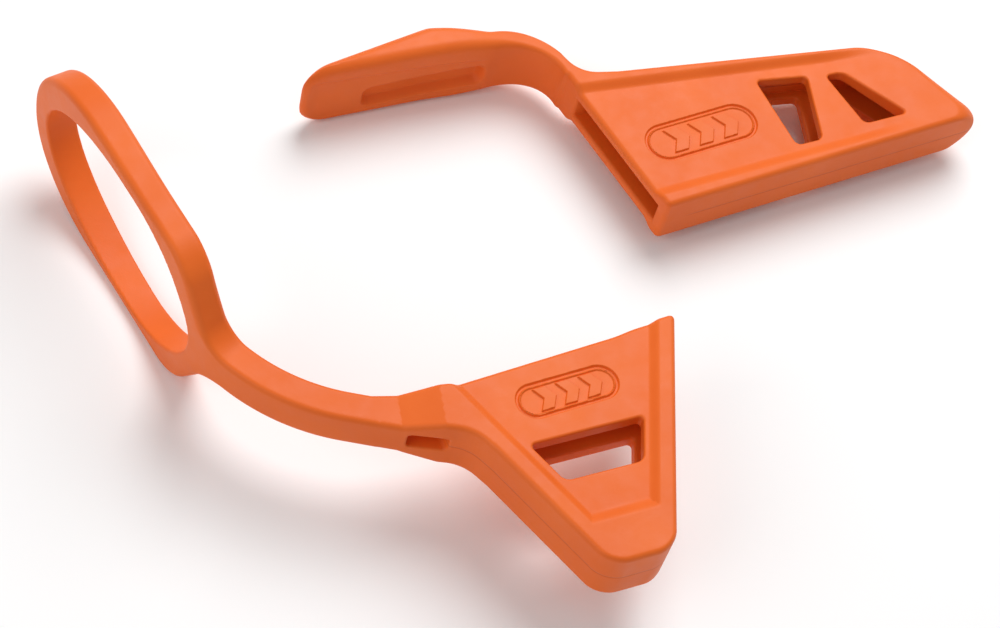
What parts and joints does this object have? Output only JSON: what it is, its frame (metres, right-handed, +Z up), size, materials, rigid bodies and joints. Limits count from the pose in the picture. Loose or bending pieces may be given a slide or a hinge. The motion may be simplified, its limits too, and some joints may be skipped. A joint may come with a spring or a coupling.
{
  "type": "ice axe guard set",
  "caption": "Soft moulded guards for an ice axe: a tapered pick sheath with a clip-on hook arm, and a spike sheath on a curved arm that ends in a shaft ring.",
  "frame": {"origin": "on the surface that the pair lies on, under the middle of the pair's box", "axes": "+Z up, square to both flat sheaths; +X along the pick sheath, from its mouth to its tip; the spike sheath's toe points to -Y"},
  "size_m": [0.2012, 0.1342, 0.0396],
  "materials": {
    "orange_rubber": "satin moulded elastomer, fine even grain"
  },
  "bodies": {
    "spike_sheath": {"spike_front_wall": "orange_rubber", "spike_back_wall": "orange_rubber", "spike_left_edge": "orange_rubber", "spike_right_edge": "orange_rubber", "spike_toe": "orange_rubber", "spike_arm_root": "orange_rubber"},
    "spike_arm_inner": {"spike_arm_inner": "orange_rubber"},
    "spike_arm_middle": {"spike_arm_middle": "orange_rubber"},
    "spike_ring": {"spike_arm_outer": "orange_rubber", "spike_ring_neck": "orange_rubber", "spike_ring_upper_bar": "orange_rubber", "spike_ring_lower_bar": "orange_rubber", "spike_ring_bow": "orange_rubber"},
    "pick_sheath": {"pick_front_wall": "orange_rubber", "pick_back_wall": "orange_rubber", "pick_upper_edge": "orange_rubber", "pick_lower_edge": "orange_rubber", "pick_tip": "orange_rubber", "pick_arm_root": "orange_rubber"},
    "pick_arm_bend": {"pick_arm_bend": "orange_rubber"},
    "pick_hook": {"pick_hook": "orange_rubber"}
  },
  "joints": [
    {"name": "spike_arm_flex_inner", "type": "hinge", "parent": "spike_sheath", "child": "spike_arm_inner", "pos_m": [-0.05736, -0.02393, 0.0198], "axis": [0, 0, -1], "range_deg": [-8, 10], "stiffness_Nm_per_rad": 0.3},
    {"name": "spike_arm_flex_middle", "type": "hinge", "parent": "spike_arm_inner", "child": "spike_arm_middle", "pos_m": [-0.06953, -0.01706, 0.0198], "axis": [0, 0, -1], "range_deg": [-8, 10], "stiffness_Nm_per_rad": 0.3},
    {"name": "spike_arm_flex_outer", "type": "hinge", "parent": "spike_arm_middle", "child": "spike_ring", "pos_m": [-0.07917, -0.00699, 0.0198], "axis": [0, 0, -1], "range_deg": [-8, 10], "stiffness_Nm_per_rad": 0.3},
    {"name": "pick_arm_flex_inner", "type": "hinge", "parent": "pick_sheath", "child": "pick_arm_bend", "pos_m": [0.01212, 0.05479, 0.0092], "axis": [0, 0, -1], "range_deg": [-5, 12], "stiffness_Nm_per_rad": 0.1},
    {"name": "pick_arm_flex_outer", "type": "hinge", "parent": "pick_arm_bend", "child": "pick_hook", "pos_m": [0.00364, 0.0619, 0.0092], "axis": [0, 0, -1], "range_deg": [-5, 12], "stiffness_Nm_per_rad": 0.1},
    {"name": "pick_guard_lift", "type": "slide", "parent": "spike_sheath", "child": "pick_sheath", "axis": [0, 0, 1], "range_m": [0, 0.12]}
  ],
  "couplings": [
    {"joint": "spike_arm_flex_middle", "follows": "spike_arm_flex_inner", "ratio": 1},
    {"joint": "spike_arm_flex_outer", "follows": "spike_arm_flex_inner", "ratio": 1},
    {"joint": "pick_arm_flex_outer", "follows": "pick_arm_flex_inner", "ratio": 1}
  ]
}
